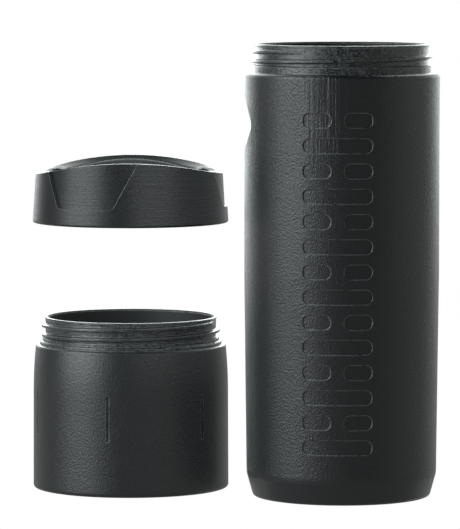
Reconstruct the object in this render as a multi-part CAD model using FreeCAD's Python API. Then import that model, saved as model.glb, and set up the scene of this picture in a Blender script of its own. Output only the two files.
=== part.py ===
"""Two-compartment tool canister for a bicycle bottle cage, taken apart.

Millimetres, +Z up.  The origin is the middle of the bottle's base, on its axis.
The bottle stands at the origin, the upper compartment stands to its left and a
little further back, and the lid hovers above the upper compartment, a whole
number of turns clear of its thread.
"""
import math
import os

import FreeCAD
import Part

V = FreeCAD.Vector
UP = V(0, 0, 1)

# ---- working sizes of the cutters, past every surface they cut ----------
PAST = 1.0
SAME = 0.01

# ---- where the three pieces stand --------------------------------------
CUP_X = -80.7
CUP_Y = 26.5
THREAD_PITCH = 3.6
TURNS_LIFTED = 13

# ---- necks and sockets, shared by the bottle, the cup and the lid -------
NECK_TALL = 10.7
NECK_BORE_R = 31.5
NECK_R = 32.9
LIP_R = 33.1
LIP_TALL = 0.8
LIP_LAND = 1.1
LIP_CHAMFER = 0.6
COLLAR_R = 34.1
COLLAR_TALL = 2.9
LIP_ROUND = 0.25
COLLAR_ROUND = 0.4
BORE_BELOW_SHOULDER = 2.2
WALL_TURNS_IN = 6.0
INNER_FLOOR_ROUND = 2.0
THREAD_CREST_R = 34.3
RIDGE_ROOT_WIDE = 2.0
RIDGE_CREST_WIDE = 0.9
RIDGE_SUNK = 0.4
RIDGE_TAPER_DEG = 14.0
SOCKET_R = 34.6
SOCKET_CREST_R = 33.45
SOCKET_DEEP = 12.6
MOUTH_R = 35.6
MOUTH_DEEP = 2.0
SEAT_GAP = 0.3
FEMALE_LOW = 4.3
FEMALE_TURNS = 1.15

# ---- seals --------------------------------------------------------------
SEAL_IN_R = 30.6
SEAL_OUT_R = 34.2
SEAL_THICK = 1.6

# ---- bottle -------------------------------------------------------------
BOTTLE_R = 37.0
BOTTLE_TOP_R = 37.15
BOTTLE_LOW_R = 36.1
BOTTLE_SHOULDER = 161.1
BARREL_LOW = 85.0
BARREL_TOP = 128.0
BASE_R = 33.6
BASE_TALL = 9.0
BASE_ROUND = 1.6
BASE_BLEND = 9.0
SHOULDER_ROUND = 1.6
WALL = 2.0
FLOOR = 2.6
BOTTLE_THREAD_LOW = 2.5
BOTTLE_THREAD_DEG = 10.0
BOTTLE_THREAD_TURNS = 1.65
PARTING_DEG = -95.0
PARTING_GAP = 2.2

# ---- dent that the cage's tongue drops into -----------------------------
DENT_DEEP = 3.15
DENT_MID = 141.5
DENT_ABOVE = 12.0
DENT_BELOW = 10.4
DENT_ROUND = 9.0
DENT_FACE_R = BOTTLE_R + 0.3

# ---- recessed bars on the bottle's front --------------------------------
BARS_X = -2.4
BAR_LONG = 26.0
BAR_TALL = 5.6
BAR_STEP = 9.4
BAR_COUNT = 14
BAR_LOW = 22.0
BAR_DEEP = 0.5
BAR_SPLIT = 5.0
BAR_ROUND = 0.45 * BAR_TALL

# ---- upper compartment --------------------------------------------------
CUP_R = 37.7
CUP_WAIST_R = 37.55
CUP_WAIST = 38.0
CUP_TOP_R = 36.6
CUP_SHOULDER = 55.4
CUP_FLOOR = 2.4
CUP_WALL = 2.3
CUP_EDGE = 1.3
BEAD_R = 35.1
BEAD_TALL = 1.5
BEAD_ROUND = 0.6
CUP_SHOULDER_ROUND = 0.8
CUP_THREAD_LOW = 2.6
CUP_THREAD_DEG = 80.0
CUP_THREAD_TURNS = 1.75
GROOVE_COUNT = 6
GROOVE_FIRST_DEG = -102.4
GROOVE_WIDE = 1.1
GROOVE_DEEP = 0.6
GROOVE_LOW = 21.3
GROOVE_TALL = 17.2

# ---- lid ----------------------------------------------------------------
LID_R = 37.75
LID_TOP_R = 36.05
LID_MIDDLE = 24.2
LID_ARCH_R = 125.0
LID_EDGE = 0.8
LID_BLANK_TALL = 26.0
DISH_RIM_Y = 33.6
DISH_FLOOR = 15.6
DISH_WHEEL_R = 100.0
DISH_HALFWAY_Y = 21.5
DISH_HALFWAY_RISE = 1.3
DISH_RIM_OVER = 0.6
FIN_TOP = 24.4
FIN_ARC_R = 64.0
FIN_HALF_LONG = 24.5
FIN_THICK = 5.0
FIN_ROOT_Y = 5.4
FIN_FOOT = 1.4
FIN_CROWN = 0.9
FIN_FOOT_WIDE = 3.2
FIN_FOOT_MID_Y = 1.1
FIN_FOOT_MID_RISE = 0.35
FIN_OVER = 0.5
FIN_RIB_LOW = 11.0
FIN_RIB_INSET = 0.5
RECESS_COUNT = 3
RECESS_FIRST_DEG = -118.0
RECESS_TOP_DEG = 60.5
RECESS_LOW_DEG = 36.0
RECESS_LOW = 6.4
RECESS_DEEP = 1.05
RECESS_CORNER = 3.6


def around(shape, degrees):
    """The shape turned about the Z axis."""
    turned = shape.copy()
    turned.rotate(V(0, 0, 0), UP, degrees)
    return turned


def lifted(shape, height):
    """The shape moved up by height."""
    moved = shape.copy()
    moved.translate(V(0, 0, height))
    return moved


def disc(radius, low, high):
    """An upright cylinder on the Z axis, from one height to another."""
    return Part.makeCylinder(radius, high - low, V(0, 0, low))


def ring(inner, outer, low, high):
    """An upright tube on the Z axis."""
    return disc(outer, low, high).cut(disc(inner, low - 1, high + 1))


def turned_solid(points, bends=()):
    """The solid that a closed outline of (radius, height) points sweeps out about the Z axis.

    Each bend is (side, radius, height): that side of the outline is an arc through the point.
    """
    corners = [V(r, 0, z) for r, z in points]
    through = {side: V(r, 0, z) for side, r, z in bends}
    sides = []
    for i, start in enumerate(corners):
        end = corners[(i + 1) % len(corners)]
        if i in through:
            sides.append(Part.Arc(start, through[i], end).toShape())
        else:
            sides.append(Part.makeLine(start, end))
    return Part.Face(Part.Wire(sides)).revolve(V(0, 0, 0), UP, 360)


def rounded_rims(solid, rims):
    """The solid with each circular edge at (radius, height) rounded by its own radius."""
    for radius, height, size in rims:
        edges = [e for e in solid.Edges if is_rim(e, radius, height)]
        solid = solid.makeFillet(size, edges)
    return solid


def is_rim(edge, radius, height):
    """Whether the edge is a full circle about the Z axis with this radius and height."""
    if not isinstance(edge.Curve, Part.Circle):
        return False
    near_height = abs(edge.Curve.Center.z - height) < SAME
    return near_height and abs(edge.Curve.Radius - radius) < SAME


def bar_end_cut(start_deg, reach, root, crest, height):
    """A prism that shaves a ridge's end down to its root over the taper angle."""
    outward = 1 if crest > root else -1
    far = crest + 3 * outward
    first = math.radians(start_deg - 2 * reach)
    last = math.radians(start_deg + RIDGE_TAPER_DEG * reach)
    begin = math.radians(start_deg)
    plan = [
        V(root * math.cos(begin), root * math.sin(begin), 0),
        V(crest * math.cos(last), crest * math.sin(last), 0),
        V(far * math.cos(last), far * math.sin(last), 0),
        V(far * math.cos(first), far * math.sin(first), 0),
        V((root - outward) * math.cos(first), (root - outward) * math.sin(first), 0),
    ]
    face = Part.Face(Part.makePolygon(plan + plan[:1]))
    return lifted(face.extrude(V(0, 0, 3)), height - 1.5)


def ridge(root, crest, start_deg, low, turns):
    """A right-handed thread ridge with tapered ends: its middle starts at height low."""
    inward = crest < root
    back = root + RIDGE_SUNK if inward else root - RIDGE_SUNK
    outline = [
        V(back, 0, -RIDGE_ROOT_WIDE / 2),
        V(crest, 0, -RIDGE_CREST_WIDE / 2),
        V(crest, 0, RIDGE_CREST_WIDE / 2),
        V(back, 0, RIDGE_ROOT_WIDE / 2),
    ]
    path = Part.makeHelix(THREAD_PITCH, THREAD_PITCH * turns, root)
    sweep = Part.BRepOffsetAPI.MakePipeShell(Part.Wire(path.Edges))
    sweep.setFrenetMode(True)
    sweep.add(Part.makePolygon(outline + outline[:1]))
    sweep.build()
    sweep.makeSolid()
    solid = lifted(around(sweep.shape(), start_deg), low)
    end_deg = start_deg + 360 * turns
    high = low + THREAD_PITCH * turns
    solid = solid.cut(bar_end_cut(start_deg, 1, root, crest, low))
    return solid.cut(bar_end_cut(end_deg, -1, root, crest, high))


def male_thread(start_deg, low, turns):
    """The ridge outside a neck."""
    return ridge(NECK_R, THREAD_CREST_R, start_deg, low, turns)


def female_thread(male_deg, male_low):
    """The ridge inside a socket, in the middle of the groove of the male thread it goes on."""
    groove = male_low + THREAD_PITCH / 2
    turns_up = (FEMALE_LOW - groove) / THREAD_PITCH
    return ridge(
        SOCKET_R, SOCKET_CREST_R, male_deg + 360 * turns_up, FEMALE_LOW, FEMALE_TURNS
    )


def dent_prism(inset, spread):
    """A bar across the bottle's left side whose face is the dent, moved inward by inset."""
    deepest = -DENT_FACE_R + DENT_DEEP + inset
    outside = -(BOTTLE_R + 6)
    high = DENT_MID + DENT_ABOVE + spread
    low = DENT_MID - DENT_BELOW - spread
    face_out = -DENT_FACE_R + inset
    profile = [
        V(outside, 0, low),
        V(face_out, 0, low),
        V(deepest, 0, DENT_MID),
        V(face_out, 0, high),
        V(outside, 0, high),
    ]
    face = Part.Face(Part.makePolygon(profile + profile[:1]))
    bar = face.extrude(V(0, 90, 0))
    bar.translate(V(0, -45, 0))
    lip = [e for e in bar.Edges if is_level_edge(e, deepest)]
    return bar.makeFillet(DENT_ROUND, lip)


def is_level_edge(edge, x):
    """Whether the edge runs along Y at this x."""
    first, last = edge.Vertexes[0].Point, edge.Vertexes[-1].Point
    return abs(first.x - x) < SAME and abs(last.x - x) < SAME and abs(first.z - last.z) < SAME


def neck_outline(shoulder):
    """The outer corners of a neck with its collar and lip, from its foot to the middle of its top."""
    top = shoulder + NECK_TALL
    return [
        (COLLAR_R, shoulder + COLLAR_TALL),
        (NECK_R, shoulder + COLLAR_TALL),
        (NECK_R, top - LIP_TALL - LIP_R + NECK_R),
        (LIP_R, top - LIP_TALL),
        (LIP_R, top),
        (0, top),
    ]


def neck_rims(shoulder):
    """The neck's rounded rims."""
    return [
        (LIP_R, shoulder + NECK_TALL, LIP_ROUND),
        (COLLAR_R, shoulder + COLLAR_TALL, COLLAR_ROUND),
    ]


def bore_outline(shoulder):
    """The inner corners of a neck: its bore and the chamfer inside its rim."""
    top = shoulder + NECK_TALL
    rim_r = LIP_R - LIP_LAND
    return [
        (NECK_BORE_R, shoulder - BORE_BELOW_SHOULDER),
        (NECK_BORE_R, top - LIP_CHAMFER),
        (rim_r, top),
        (rim_r, top + PAST),
        (0, top + PAST),
    ]


def barrel_core(inset, low):
    """The barrel's form moved inward by inset, from a height up to past the shoulder."""
    return turned_solid(
        [
            (0, low),
            (BOTTLE_LOW_R - inset, low),
            (BOTTLE_R - inset, BARREL_LOW),
            (BOTTLE_R - inset, BARREL_TOP),
            (BOTTLE_TOP_R - inset, BOTTLE_SHOULDER + 1),
            (0, BOTTLE_SHOULDER + 1),
        ]
    )


def bottle_outside():
    """The bottle's outer form with its neck, without the thread."""
    outline = [
        (0, 0),
        (BASE_R, 0),
        (BOTTLE_LOW_R, BASE_TALL),
        (BOTTLE_R, BARREL_LOW),
        (BOTTLE_R, BARREL_TOP),
        (BOTTLE_TOP_R, BOTTLE_SHOULDER),
        (COLLAR_R, BOTTLE_SHOULDER),
    ]
    rims = [
        (BASE_R, 0, BASE_ROUND),
        (BOTTLE_LOW_R, BASE_TALL, BASE_BLEND),
        (BOTTLE_TOP_R, BOTTLE_SHOULDER, SHOULDER_ROUND),
    ]
    solid = turned_solid(outline + neck_outline(BOTTLE_SHOULDER))
    return rounded_rims(solid, rims + neck_rims(BOTTLE_SHOULDER))


def bottle_inside():
    """The space inside the bottle, out through the neck."""
    outline = [
        (0, FLOOR),
        (BASE_R - WALL, FLOOR),
        (BOTTLE_LOW_R - WALL, BASE_TALL),
        (BOTTLE_R - WALL, BARREL_LOW),
        (BOTTLE_R - WALL, BARREL_TOP),
        (BOTTLE_TOP_R - WALL, BOTTLE_SHOULDER - WALL_TURNS_IN),
    ]
    space = turned_solid(outline + bore_outline(BOTTLE_SHOULDER))
    space = rounded_rims(space, [(BASE_R - WALL, FLOOR, INNER_FLOOR_ROUND)])
    return space.cut(dent_prism(WALL, WALL / 2))


def bar_cutter(length, middle_x, height):
    """A rounded bar that reaches in from the front of the bottle."""
    low = height - BAR_TALL / 2
    block = Part.makeBox(length, 30, BAR_TALL, V(middle_x - length / 2, -60, low))
    ends = [e for e in block.Edges if abs(e.tangentAt(e.FirstParameter).y) > 0.99]
    return block.makeFillet(BAR_ROUND, ends)


def bar_cutters():
    """The recessed bars: whole ones and split ones in turn up the front."""
    half = (BAR_LONG - BAR_SPLIT) / 2
    cutters = []
    for i in range(BAR_COUNT):
        height = BAR_LOW + i * BAR_STEP
        if i % 2 == 0:
            cutters.append(bar_cutter(BAR_LONG, BARS_X, height))
            continue
        for side in (-1, 1):
            middle = BARS_X + side * (half + BAR_SPLIT) / 2
            cutters.append(bar_cutter(half, middle, height))
    return cutters


def bottle():
    """The lower compartment: barrel, dent, recessed bars and threaded neck."""
    body = bottle_outside().cut(dent_prism(0, 0))
    core = barrel_core(BAR_DEEP, 0)
    for cutter in bar_cutters():
        body = body.cut(cutter.cut(core))
    thread = male_thread(BOTTLE_THREAD_DEG, BOTTLE_THREAD_LOW, BOTTLE_THREAD_TURNS)
    slit = Part.makeBox(100, PARTING_GAP, 30, V(-50, -PARTING_GAP / 2, -5))
    thread = thread.cut(around(slit, PARTING_DEG))
    body = body.fuse(lifted(thread, BOTTLE_SHOULDER))
    return body.cut(bottle_inside())


def cup_outside():
    """The upper compartment's outer form with its neck, without threads."""
    bead_top = CUP_SHOULDER + BEAD_TALL
    outline = [
        (0, 0),
        (CUP_R, 0),
        (CUP_WAIST_R, CUP_WAIST),
        (CUP_TOP_R, CUP_SHOULDER),
        (BEAD_R, CUP_SHOULDER),
        (BEAD_R, bead_top),
        (COLLAR_R, bead_top),
    ]
    rims = [
        (CUP_R, 0, CUP_EDGE),
        (CUP_TOP_R, CUP_SHOULDER, CUP_SHOULDER_ROUND),
        (BEAD_R, bead_top, BEAD_ROUND),
    ]
    middle_r = CUP_WAIST_R - (CUP_WAIST_R - CUP_TOP_R) / 4
    shoulder_arc = (2, middle_r, (CUP_WAIST + CUP_SHOULDER) / 2)
    solid = turned_solid(outline + neck_outline(CUP_SHOULDER), [shoulder_arc])
    return rounded_rims(solid, rims + neck_rims(CUP_SHOULDER))


def cup_inside():
    """The space inside the upper compartment, out through its neck."""
    low = SOCKET_DEEP + CUP_FLOOR
    outline = [
        (0, low),
        (CUP_WAIST_R - CUP_WALL, low),
        (CUP_WAIST_R - CUP_WALL, CUP_WAIST),
        (CUP_TOP_R - CUP_WALL, CUP_SHOULDER - WALL_TURNS_IN),
    ]
    space = turned_solid(outline + bore_outline(CUP_SHOULDER))
    return rounded_rims(space, [(CUP_WAIST_R - CUP_WALL, low, INNER_FLOOR_ROUND)])


def socket_space():
    """The space inside a socket: its bore and the wider mouth at the bottom."""
    return disc(SOCKET_R, -1, SOCKET_DEEP).fuse(disc(MOUTH_R, -1, MOUTH_DEEP))


def grooves():
    """The narrow upright grooves round the upper compartment."""
    made = []
    start = CUP_WAIST_R - GROOVE_DEEP
    for i in range(GROOVE_COUNT):
        block = Part.makeBox(9, GROOVE_WIDE, GROOVE_TALL, V(start, -GROOVE_WIDE / 2, GROOVE_LOW))
        made.append(around(block, GROOVE_FIRST_DEG + i * 360 / GROOVE_COUNT))
    return made


def compartment_cup():
    """The upper compartment, with its base's middle at the origin."""
    body = cup_outside()
    for groove in grooves():
        body = body.cut(groove)
    thread = male_thread(CUP_THREAD_DEG, CUP_THREAD_LOW, CUP_THREAD_TURNS)
    body = body.fuse(lifted(thread, CUP_SHOULDER))
    body = body.cut(cup_inside()).cut(socket_space())
    return body.fuse(female_thread(BOTTLE_THREAD_DEG, BOTTLE_THREAD_LOW))


def lid_blank():
    """The lid's tapered outer form, arched across its top."""
    blank = turned_solid([(0, 0), (LID_R, 0), (LID_TOP_R, LID_BLANK_TALL), (0, LID_BLANK_TALL)])
    blank = rounded_rims(blank, [(LID_R, 0, LID_EDGE)])
    arch = Part.makeCylinder(
        LID_ARCH_R, 90, V(0, -45, LID_MIDDLE - LID_ARCH_R), V(0, 1, 0)
    )
    return blank.common(arch)


def wheel_half(floor):
    """One side of the dish: the solid that a rounded outline sweeps about an axis along Y."""
    centre_z = floor + DISH_WHEEL_R
    rim_z = LID_MIDDLE + DISH_RIM_OVER
    fin_z = FIN_TOP + FIN_OVER
    fin_foot = V(0, -FIN_ROOT_Y, floor + FIN_FOOT)
    low_out = V(0, -(FIN_ROOT_Y + FIN_FOOT_WIDE), floor)
    foot_mid = V(0, -(FIN_ROOT_Y + FIN_FOOT_MID_Y), floor + FIN_FOOT_MID_RISE)
    halfway = V(0, -DISH_HALFWAY_Y, floor + DISH_HALFWAY_RISE)
    outline = [
        Part.LineSegment(V(0, -FIN_THICK / 2, centre_z), V(0, -FIN_THICK / 2, fin_z)).toShape(),
        Part.LineSegment(V(0, -FIN_THICK / 2, fin_z), fin_foot).toShape(),
        Part.Arc(fin_foot, foot_mid, low_out).toShape(),
        Part.Arc(low_out, halfway, V(0, -DISH_RIM_Y, rim_z)).toShape(),
        Part.LineSegment(V(0, -DISH_RIM_Y, rim_z), V(0, -DISH_RIM_Y, centre_z)).toShape(),
        Part.LineSegment(V(0, -DISH_RIM_Y, centre_z), V(0, -FIN_THICK / 2, centre_z)).toShape(),
    ]
    face = Part.Face(Part.Wire(outline))
    return face.revolve(V(0, 0, centre_z), V(0, 1, 0), 360)


def dish():
    """The hollow in the lid's top, on both sides of the fin."""
    front = wheel_half(DISH_FLOOR)
    return front.fuse(around(front, 180))


def crowned_arch():
    """A wheel on an axis along Y whose rounded rim is the fin's crest."""
    half = FIN_THICK / 2
    side = FIN_ROOT_Y + 1
    centre_z = FIN_TOP - FIN_ARC_R
    corner_z = FIN_TOP - FIN_CROWN
    outline = [
        Part.Arc(V(0, -half, corner_z), V(0, 0, FIN_TOP), V(0, half, corner_z)).toShape(),
        Part.makePolygon(
            [
                V(0, half, corner_z),
                V(0, side, corner_z - 3 * FIN_CROWN),
                V(0, side, centre_z),
                V(0, -side, centre_z),
                V(0, -side, corner_z - 3 * FIN_CROWN),
                V(0, -half, corner_z),
            ]
        ),
    ]
    edges = [e for piece in outline for e in piece.Edges]
    return Part.Face(Part.Wire(edges)).revolve(V(0, 0, centre_z), V(0, 1, 0), 360)


def over_fin():
    """What is cleared away above the fin's arched crest, down to the dish's floor at its ends."""
    half = FIN_ROOT_Y
    hollow = Part.makeCylinder(
        DISH_WHEEL_R - FIN_FOOT, 2 * half, V(0, -half, DISH_FLOOR + DISH_WHEEL_R), V(0, 1, 0)
    )
    return hollow.cut(crowned_arch())


def lid_top():
    """The lid's form with its recesses, dish and fin, before the socket is cut."""
    body = lid_blank()
    for i in range(RECESS_COUNT):
        body = body.cut(recess(RECESS_FIRST_DEG + i * 360 / RECESS_COUNT))
    rib_half = FIN_ROOT_Y - FIN_RIB_INSET
    rib = Part.makeBox(2 * FIN_HALF_LONG, 2 * rib_half, FIN_TOP + PAST - FIN_RIB_LOW)
    rib.translate(V(-FIN_HALF_LONG, -rib_half, FIN_RIB_LOW))
    return body.fuse(rib).cut(dish()).cut(over_fin())


def recess(degrees):
    """One side recess of the lid: a trapezoid, open at the top, of even depth."""
    top = LID_BLANK_TALL + 2
    half_top = LID_R * math.sin(math.radians(RECESS_TOP_DEG / 2))
    half_low = LID_R * math.sin(math.radians(RECESS_LOW_DEG / 2))
    slope = (half_top - half_low) / (LID_MIDDLE - 2 - RECESS_LOW)
    half_over = half_low + slope * (top - RECESS_LOW)
    outline = [
        V(20, -half_low, RECESS_LOW),
        V(20, half_low, RECESS_LOW),
        V(20, half_over, top),
        V(20, -half_over, top),
    ]
    prism = Part.Face(Part.makePolygon(outline + outline[:1])).extrude(V(25, 0, 0))
    corners = [e for e in prism.Edges if e.BoundBox.XLength > 20 and e.BoundBox.ZMax < RECESS_LOW + 1]
    prism = prism.makeFillet(RECESS_CORNER, corners)
    core = turned_solid(
        [
            (0, -1),
            (LID_R - RECESS_DEEP, -1),
            (LID_TOP_R - RECESS_DEEP, LID_BLANK_TALL + 3),
            (0, LID_BLANK_TALL + 3),
        ]
    )
    return around(prism.cut(core), degrees)


def lid():
    """The screw lid, with its skirt's lower edge at height zero."""
    male_low = CUP_THREAD_LOW - SEAT_GAP
    body = lid_top().cut(socket_space())
    return body.fuse(female_thread(CUP_THREAD_DEG, male_low))


def seal():
    """A flat seal ring at the top of a socket, clear of its walls and ceiling."""
    low = SOCKET_DEEP - SEAT_GAP - SEAL_THICK
    return ring(SEAL_IN_R, SEAL_OUT_R, low, low + SEAL_THICK)


def placed(shape, height):
    """The shape moved onto the upper compartment's axis, at a height."""
    moved = shape.copy()
    moved.translate(V(CUP_X, CUP_Y, height))
    return moved


def main():
    os.makedirs("parts", exist_ok=True)
    lid_height = CUP_SHOULDER + SEAT_GAP + THREAD_PITCH * TURNS_LIFTED
    nodes = {
        "bottle": bottle(),
        "compartment_cup": placed(compartment_cup(), 0),
        "cup_seal": placed(seal(), 0),
        "lid": placed(lid(), lid_height),
        "lid_seal": placed(seal(), lid_height),
    }
    for name, shape in nodes.items():
        shape.exportStep(f"parts/{name}.step")
        box = shape.BoundBox
        print(
            name,
            f"{shape.Volume / 1000:.1f} cm3, solids {len(shape.Solids)}, valid {shape.isValid()},",
            f"z {box.ZMin:.2f} to {box.ZMax:.2f}",
        )


main()
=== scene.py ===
"""Looks of the two-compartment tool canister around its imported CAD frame."""

import math

import bmesh
import bpy
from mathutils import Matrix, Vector


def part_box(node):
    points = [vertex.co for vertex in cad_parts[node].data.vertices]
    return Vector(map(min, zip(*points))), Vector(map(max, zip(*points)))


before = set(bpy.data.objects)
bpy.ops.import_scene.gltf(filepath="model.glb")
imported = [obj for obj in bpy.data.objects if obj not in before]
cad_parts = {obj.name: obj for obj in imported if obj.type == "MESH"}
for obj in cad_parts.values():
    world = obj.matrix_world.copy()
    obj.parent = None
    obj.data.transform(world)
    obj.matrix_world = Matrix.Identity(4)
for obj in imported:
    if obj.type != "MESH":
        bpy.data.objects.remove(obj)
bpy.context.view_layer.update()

MM = 0.001

# the camera, in metres, degrees and, for its lens, millimetres
CAMERA_X = -0.0424
CAMERA_Y = -1.690
CAMERA_Z = 0.217
CAMERA_TILT_DEG = 4.364
LENS_MM = 303.7
SENSOR_MM = 36.0
NEAREST = 0.05
FARTHEST = 50

# the surroundings: their brightness on the plastic runs from the front to the back
DIM_FRONT = 0.04
BRIGHT_BACK = 0.3
FRONT_TO_BACK = (-0.3, 0.8)
AROUND_TINT = (0.95, 0.99, 1.0, 1)
WHITE = (1, 1, 1, 1)

# the floor, in metres, and its glow on the plastic
FLOOR_MIDDLE = (-0.04, 0.01)
FLOOR_R = 6.0
FLOOR_SIDES = 96
FLOOR_BELOW = 0.2 * MM
FLOOR_GLOW = 0.45

# the light panels: each one's place and size in metres, then its watts on each piece
PANEL_AIM = Vector((-0.03, 0, 0.1))
PANEL_TINT = (0.94, 1.0, 0.995)
PANELS = {
    "key": ((-1.59, -0.84, 0.75), (1.6, 1.6)),
    "back_left": ((-0.85, 1.8, 0.1), (1.1, 2.4)),
    "back": ((0, 2.2, 0.9), (1.2, 1.4)),
    "back_right": ((0.85, 1.8, 0.1), (1.1, 2.4)),
    "right": ((1.65, -0.1, 0.5), (2.1, 1.6)),
    "front": ((0.87, -1.65, 0.75), (2.0, 0.9)),
    "top": ((0, 1.2, 1.8), (2.4, 1.3)),
}
WATTS = {
    "bottle": {
        "key": 52, "back_left": 46, "back": 40, "back_right": 25, "right": 7, "front": 1, "top": 70
    },
    "compartment_cup": {
        "key": 57, "back_left": 16, "back": 40, "back_right": 6, "right": 8, "front": 13, "top": 34
    },
    "lid": {
        "key": 39, "back_left": 21, "back": 24, "back_right": 6, "right": 7, "front": 18, "top": 24
    },
}
LIT_TOGETHER = {
    "bottle": ("bottle",),
    "compartment_cup": ("compartment_cup", "cup_seal"),
    "lid": ("lid", "lid_seal"),
}

# the grained skin of each piece: below neck_low, outside wall_r and above base_high
SKINS = {
    "bottle": {
        "neck_low": 161 * MM, "wall_r": 35.4 * MM, "base_high": 7 * MM,
        "grain_deep": 0.122 * MM, "leather": 1.0,
    },
    "compartment_cup": {
        "neck_low": 55.3 * MM, "wall_r": 35.9 * MM, "base_high": 0.5 * MM,
        "grain_deep": 0.075 * MM, "leather": 1.0,
    },
    "lid": {
        "neck_low": 60 * MM, "wall_r": 34.8 * MM, "base_high": -2 * MM,
        "grain_deep": 0.058 * MM, "leather": 0.55,
    },
}
NECK_FADE = 0.2 * MM
WALL_FADE = 0.4 * MM
BASE_FADE = 1.5 * MM
BORE_EDGE = (32.6 * MM, 32.2 * MM)

# the plastic's colour and roughness
PLASTIC_TINT = (0.0025, 0.0042, 0.0049, 1)
GRAIN_ROUGH = 0.38
NECK_ROUGH = 0.3
BORE_ROUGH = 0.3
MOTTLE_SCALE = 1500
MOTTLE_MEAN = 0.5
MOTTLE_ROUGH = 0.35

# its leather grain and the slow ripple under it
GRAIN_SCALE = 2500
GRAIN_STRETCH = (1, 1, 0.6)
NECK_GRAIN = 0.9
RIPPLE_SCALE = 700
RIPPLE_STRETCH = (1, 1, 2)
RIPPLE_HEIGHT = 0.3
NOISE_DETAIL = 2

# its rounded edges, with a highlight painted paler along them where the roughness is also lower,
# and sparkle highlights painted as pale specks on the necks
EDGE_ROUND = 0.45 * MM
EDGE_SAMPLES = 4
# the colour of the highlight painted along the edges, the mask's range, and how much smoother the
# edges are
EDGE_HIGHLIGHT_TINT = (0.12, 0.132, 0.13, 1)
EDGE_HIGHLIGHT_RANGE = (0.997, 0.93)
EDGE_SMOOTHER = 0.12
PATCH_SCALE = 420
PATCH_RANGE = (0.25, 0.55)
# the sparkle highlights painted as pale specks on the necks
SPARKLE_SCALE = 1300
SPARKLE_RANGE = (0.42, 0.66)
SPARKLE_PALE = 0.42

# the bottle's parting line, and the drawn streaks beside it
PARTING_DEG = -95
PARTING_WIDTH = (0.22 * MM, 0.05 * MM)
PARTING_TOP = (161 * MM, 160.5 * MM)
PARTING_HEIGHT = 0.15
STREAK_SCALE = 1000
STREAK_STRETCH = (1, 1, 0.015)
STREAK_HEIGHT = 2.9
STREAKS_LEFT = (-17 * MM, -12 * MM)
STREAKS_RIGHT = (0.5 * MM, -2.5 * MM)
STREAKS_LOW = (118 * MM, 140 * MM)
STREAKS_TOP = (161 * MM, 160 * MM)
STREAKS_FRONT = (-20 * MM, -25 * MM)

# the fine lines round the lid
TURNING_SCALE = 60
TURNING_STRETCH = (1, 1, 26)
TURNING_HEIGHT = 0.9

# the seals' rubber
RUBBER_TINT = (0.014, 0.014, 0.014, 1)
RUBBER_ROUGH = 0.62
RUBBER_GRAIN_SCALE = 1500
RUBBER_GRAIN_DEEP = 0.05 * MM
RUBBER_GRAIN_STRENGTH = 0.3


def math_node(tree, operation, *values):
    """A Math node whose inputs are numbers or other nodes' outputs."""
    node = tree.nodes.new("ShaderNodeMath")
    node.operation = operation
    for socket, value in zip(node.inputs, values):
        if isinstance(value, (int, float)):
            socket.default_value = value
        else:
            tree.links.new(value, socket)
    return node.outputs[0]


def product(tree, first, *others):
    """The values multiplied together, from the left."""
    for other in others:
        first = math_node(tree, "MULTIPLY", first, other)
    return first


def add_times(tree, value, times, base):
    """The base with so many times the value added to it."""
    return math_node(tree, "MULTIPLY_ADD", value, times, base)


def vector_node(tree, operation, first, second=None):
    """A Vector Math node, whose second input may be a fixed vector or a node's output."""
    node = tree.nodes.new("ShaderNodeVectorMath")
    node.operation = operation
    tree.links.new(first, node.inputs[0])
    if isinstance(second, tuple):
        node.inputs[1].default_value = second
    elif second is not None:
        tree.links.new(second, node.inputs[1])
    is_number = operation in ("LENGTH", "DOT_PRODUCT")
    return node.outputs["Value" if is_number else "Vector"]


def fade(tree, value, start, end, low=0.0, high=1.0):
    """Low where the value is before start, high where it is past end, smooth between."""
    node = tree.nodes.new("ShaderNodeMapRange")
    node.interpolation_type = "SMOOTHSTEP"
    node.inputs["From Min"].default_value = start
    node.inputs["From Max"].default_value = end
    node.inputs["To Min"].default_value = low
    node.inputs["To Max"].default_value = high
    tree.links.new(value, node.inputs["Value"])
    return node.outputs["Result"]


def grain_noise(tree, place, scale, stretch=(1, 1, 1)):
    """Fine noise over a place vector that is stretched along its axes."""
    noise = tree.nodes.new("ShaderNodeTexNoise")
    noise.inputs["Scale"].default_value = scale
    noise.inputs["Detail"].default_value = NOISE_DETAIL
    tree.links.new(vector_node(tree, "MULTIPLY", place, stretch), noise.inputs["Vector"])
    return noise.outputs[0]


def bump(tree, height, deep, strength=1.0, normal=None):
    """The normal of a surface with this height on it, over the given normal if there is one."""
    node = tree.nodes.new("ShaderNodeBump")
    node.inputs["Strength"].default_value = strength
    node.inputs["Distance"].default_value = deep
    tree.links.new(height, node.inputs["Height"])
    if normal is not None:
        tree.links.new(normal, node.inputs["Normal"])
    return node.outputs["Normal"]


def add_camera():
    """The camera, where the photograph was taken from."""
    data = bpy.data.cameras.new("camera")
    data.sensor_width = SENSOR_MM
    data.lens = LENS_MM
    data.clip_start = NEAREST
    data.clip_end = FARTHEST
    camera = bpy.data.objects.new("camera", data)
    camera.location = (CAMERA_X, CAMERA_Y, CAMERA_Z)
    camera.rotation_euler = (math.radians(90 - CAMERA_TILT_DEG), 0, 0)
    bpy.context.scene.collection.objects.link(camera)
    bpy.context.scene.camera = camera


def set_colours():
    """Plain colour handling, so that the white surroundings come out white."""
    bpy.context.scene.view_settings.view_transform = "Standard"


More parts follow.
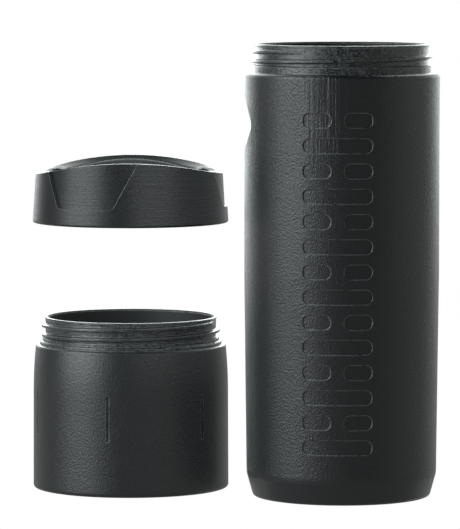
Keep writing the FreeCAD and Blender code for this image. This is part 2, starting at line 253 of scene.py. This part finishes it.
def add_panel(name, place, size, watts, piece):
    """A large soft light, turned to the pieces, that lights one piece as if it stood alone."""
    data = bpy.data.lights.new(name, "AREA")
    data.shape = "RECTANGLE"
    data.size, data.size_y = size
    data.energy = watts
    data.color = PANEL_TINT
    light = bpy.data.objects.new(name, data)
    light.location = place
    way = PANEL_AIM - Vector(place)
    light.rotation_euler = way.to_track_quat("-Z", "Y").to_euler()
    light.visible_camera = False
    light.light_linking.receiver_collection = piece
    light.light_linking.blocker_collection = piece
    bpy.context.scene.collection.objects.link(light)


def light_pieces():
    """Lights the bottle, the compartment and the lid each by itself with the same panels."""
    for main, names in LIT_TOGETHER.items():
        piece = bpy.data.collections.new("lit_" + main)
        for name in names:
            piece.objects.link(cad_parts[name])
        for panel, (place, size) in PANELS.items():
            add_panel(panel + "_" + main, place, size, WATTS[main][panel], piece)


def background(tree, colour):
    """A Background node of one colour."""
    node = tree.nodes.new("ShaderNodeBackground")
    node.inputs["Color"].default_value = colour
    return node


def add_world():
    """White for the camera; for the plastic, pale at the back and dim on the camera's side."""
    world = bpy.data.worlds.new("studio")
    bpy.context.scene.world = world
    world.use_nodes = True
    tree = world.node_tree
    tree.nodes.clear()
    way = tree.nodes.new("ShaderNodeTexCoord")
    split = tree.nodes.new("ShaderNodeSeparateXYZ")
    tree.links.new(way.outputs["Generated"], split.inputs[0])
    brightness = fade(tree, split.outputs["Y"], *FRONT_TO_BACK, DIM_FRONT, BRIGHT_BACK)
    around = background(tree, AROUND_TINT)
    tree.links.new(brightness, around.inputs["Strength"])
    white = background(tree, WHITE)
    path = tree.nodes.new("ShaderNodeLightPath")
    mix = tree.nodes.new("ShaderNodeMixShader")
    out = tree.nodes.new("ShaderNodeOutputWorld")
    tree.links.new(path.outputs["Is Camera Ray"], mix.inputs[0])
    tree.links.new(around.outputs[0], mix.inputs[1])
    tree.links.new(white.outputs[0], mix.inputs[2])
    tree.links.new(mix.outputs[0], out.inputs["Surface"])


def new_material(name):
    """A material with nodes, given as the material, its node tree and its shader."""
    material = bpy.data.materials.new(name)
    material.use_nodes = True
    tree = material.node_tree
    return material, tree, tree.nodes["Principled BSDF"]


def floor_white():
    """White for the camera whatever falls on it, and a softer glow for the plastic."""
    material, tree, shader = new_material("floor_white")
    tree.nodes.remove(shader)
    path = tree.nodes.new("ShaderNodeLightPath")
    level = tree.nodes.new("ShaderNodeMapRange")
    level.inputs["To Min"].default_value = FLOOR_GLOW
    glow = tree.nodes.new("ShaderNodeEmission")
    tree.links.new(path.outputs["Is Camera Ray"], level.inputs["Value"])
    tree.links.new(level.outputs["Result"], glow.inputs["Strength"])
    tree.links.new(glow.outputs[0], tree.nodes["Material Output"].inputs["Surface"])
    return material


def add_floor():
    """The white floor that the bottle and the compartment stand on, without shadows on it."""
    mesh = bpy.data.meshes.new("floor")
    shape = bmesh.new()
    bmesh.ops.create_circle(shape, cap_ends=True, segments=FLOOR_SIDES, radius=FLOOR_R)
    shape.to_mesh(mesh)
    shape.free()
    floor = bpy.data.objects.new("floor", mesh)
    floor.location = (*FLOOR_MIDDLE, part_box("bottle")[0][2] - FLOOR_BELOW)
    bpy.context.scene.collection.objects.link(floor)
    mesh.materials.append(floor_white())


def piece_place(tree, node):
    """A piece's own place vector, from the middle of its base, with its x, y, z and radius."""
    low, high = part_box(node)
    source = tree.nodes.new("ShaderNodeTexCoord")
    base = ((low[0] + high[0]) / 2, (low[1] + high[1]) / 2, low[2])
    place = vector_node(tree, "SUBTRACT", source.outputs["Object"], base)
    radius = vector_node(tree, "LENGTH", vector_node(tree, "MULTIPLY", place, (1, 1, 0)))
    split = tree.nodes.new("ShaderNodeSeparateXYZ")
    tree.links.new(place, split.inputs[0])
    return place, split.outputs, radius


def skin_zones(tree, z, radius, skin):
    """How far a point is in each zone: grained, bore, neck, and dull, which is all but the neck."""
    neck_low, wall_r, base_high = skin["neck_low"], skin["wall_r"], skin["base_high"]
    below_neck = fade(tree, z, neck_low, neck_low - NECK_FADE)
    outside = fade(tree, radius, wall_r - WALL_FADE, wall_r)
    above_base = fade(tree, z, base_high, base_high + BASE_FADE)
    bore = fade(tree, radius, *BORE_EDGE)
    dull = math_node(tree, "MAXIMUM", below_neck, bore)
    neck = math_node(tree, "SUBTRACT", 1, dull)
    skin_only = product(tree, below_neck, outside, above_base)
    grained = add_times(tree, neck, NECK_GRAIN, skin_only)
    return {"grained": grained, "bore": bore, "dull": dull, "neck": neck}


def rounded_edges(tree):
    """The surface's normal with its sharp edges rounded over."""
    edge = tree.nodes.new("ShaderNodeBevel")
    edge.samples = EDGE_SAMPLES
    edge.inputs["Radius"].default_value = EDGE_ROUND
    return edge.outputs[0]


def painted_edge_highlight(tree, place, rounded):
    """Where the edge highlight is painted: one along the piece's edges, broken up by noise, and
    nought on its faces.
    """
    surface = tree.nodes.new("ShaderNodeNewGeometry")
    alike = vector_node(tree, "DOT_PRODUCT", rounded, surface.outputs["Normal"])
    # the mask of the highlight painted paler along the edges
    edge_highlight = fade(tree, alike, *EDGE_HIGHLIGHT_RANGE)
    patches = fade(tree, grain_noise(tree, place, PATCH_SCALE), *PATCH_RANGE)
    return product(tree, edge_highlight, patches)


def plastic_rough(tree, place, zones, edge_highlight):
    """Roughness: duller on the skin and inside, mottled with the grain, smoother along the edges
    that carry the painted highlight.
    """
    rough = add_times(tree, zones["dull"], GRAIN_ROUGH - NECK_ROUGH, NECK_ROUGH)
    rough = add_times(tree, zones["bore"], BORE_ROUGH, rough)
    noise = grain_noise(tree, place, MOTTLE_SCALE)
    mottle = math_node(tree, "SUBTRACT", noise, MOTTLE_MEAN)
    mottle = product(tree, mottle, zones["grained"])
    rough = add_times(tree, mottle, MOTTLE_ROUGH, rough)
    return add_times(tree, edge_highlight, -EDGE_SMOOTHER, rough)


def plastic_colour(tree, place, zones, edge_highlight):
    """Near black, with a highlight painted paler along the edges and sparkle highlights painted as
    pale specks on the neck.
    """
    # sparkle highlights painted as pale specks on the neck
    painted_sparkle = fade(tree, grain_noise(tree, place, SPARKLE_SCALE), *SPARKLE_RANGE)
    painted_sparkle = product(tree, painted_sparkle, zones["neck"], SPARKLE_PALE)
    tint = tree.nodes.new("ShaderNodeMix")
    tint.data_type = "RGBA"
    tint.inputs["A"].default_value = PLASTIC_TINT
    tint.inputs["B"].default_value = EDGE_HIGHLIGHT_TINT
    # the painted edge highlight and the painted neck sparkle lighten the colour
    tree.links.new(math_node(tree, "MAXIMUM", edge_highlight, painted_sparkle), tint.inputs["Factor"])
    return tint.outputs["Result"]


def leather_grain(tree, place, zones, amount):
    """The height of the leather grain, where there is any, and of the ripple everywhere."""
    cells = tree.nodes.new("ShaderNodeTexVoronoi")
    cells.feature = "SMOOTH_F1"
    cells.inputs["Scale"].default_value = GRAIN_SCALE
    tree.links.new(vector_node(tree, "MULTIPLY", place, GRAIN_STRETCH), cells.inputs["Vector"])
    height = product(tree, cells.outputs["Distance"], zones["grained"], amount)
    ripple = grain_noise(tree, place, RIPPLE_SCALE, RIPPLE_STRETCH)
    return add_times(tree, ripple, RIPPLE_HEIGHT, height)


def parting_line(tree, place, z, height):
    """Adds the thin raised line that the mould's halves leave up the bottle."""
    turn = math.radians(PARTING_DEG)
    across = vector_node(tree, "DOT_PRODUCT", place, (-math.sin(turn), math.cos(turn), 0))
    off_line = math_node(tree, "ABSOLUTE", across)
    line = fade(tree, off_line, *PARTING_WIDTH)
    line = product(tree, line, fade(tree, z, *PARTING_TOP))
    return add_times(tree, line, PARTING_HEIGHT, height)


def drawn_streaks(tree, place, axes, height):
    """Adds the upright streaks on the bottle's front, beside the parting line near the top."""
    x, y, z = axes
    streaks = grain_noise(tree, place, STREAK_SCALE, STREAK_STRETCH)
    high_up = product(tree, fade(tree, z, *STREAKS_LOW), fade(tree, z, *STREAKS_TOP))
    across = product(tree, fade(tree, x, *STREAKS_LEFT), fade(tree, x, *STREAKS_RIGHT))
    where = product(tree, across, high_up, fade(tree, y, *STREAKS_FRONT))
    return add_times(tree, product(tree, streaks, where), STREAK_HEIGHT, height)


def turning_lines(tree, place, height):
    """Adds the fine level lines round the lid."""
    lines = grain_noise(tree, place, TURNING_SCALE, TURNING_STRETCH)
    return add_times(tree, lines, TURNING_HEIGHT, height)


def plastic(node, skin):
    """Dark moulded plastic: leather grain outside and on the neck, none on the base or inside."""
    material, tree, shader = new_material(node + "_plastic")
    place, axes, radius = piece_place(tree, node)
    zones = skin_zones(tree, axes[2], radius, skin)
    rounded = rounded_edges(tree)
    # where the edge highlight is painted into the colour
    edge_highlight = painted_edge_highlight(tree, place, rounded)
    tree.links.new(plastic_rough(tree, place, zones, edge_highlight), shader.inputs["Roughness"])
    tree.links.new(plastic_colour(tree, place, zones, edge_highlight), shader.inputs["Base Color"])
    height = leather_grain(tree, place, zones, skin["leather"])
    if node == "bottle":
        height = parting_line(tree, place, axes[2], height)
        height = drawn_streaks(tree, place, axes, height)
    if node == "lid":
        height = turning_lines(tree, place, height)
    normal = bump(tree, height, skin["grain_deep"], normal=rounded)
    tree.links.new(normal, shader.inputs["Normal"])
    return material


def rubber():
    """Matt rubber for the seals, with a faint unevenness."""
    material, tree, shader = new_material("seal_rubber")
    shader.inputs["Base Color"].default_value = RUBBER_TINT
    shader.inputs["Roughness"].default_value = RUBBER_ROUGH
    source = tree.nodes.new("ShaderNodeTexCoord")
    height = grain_noise(tree, source.outputs["Object"], RUBBER_GRAIN_SCALE)
    normal = bump(tree, height, RUBBER_GRAIN_DEEP, RUBBER_GRAIN_STRENGTH)
    tree.links.new(normal, shader.inputs["Normal"])
    return material


def dress(node, material):
    """Gives a CAD node its material."""
    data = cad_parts[node].data
    data.materials.clear()
    data.materials.append(material)


add_camera()
set_colours()
add_world()
add_floor()
light_pieces()
for name, skin in SKINS.items():
    dress(name, plastic(name, skin))
for name in ("cup_seal", "lid_seal"):
    dress(name, rubber())
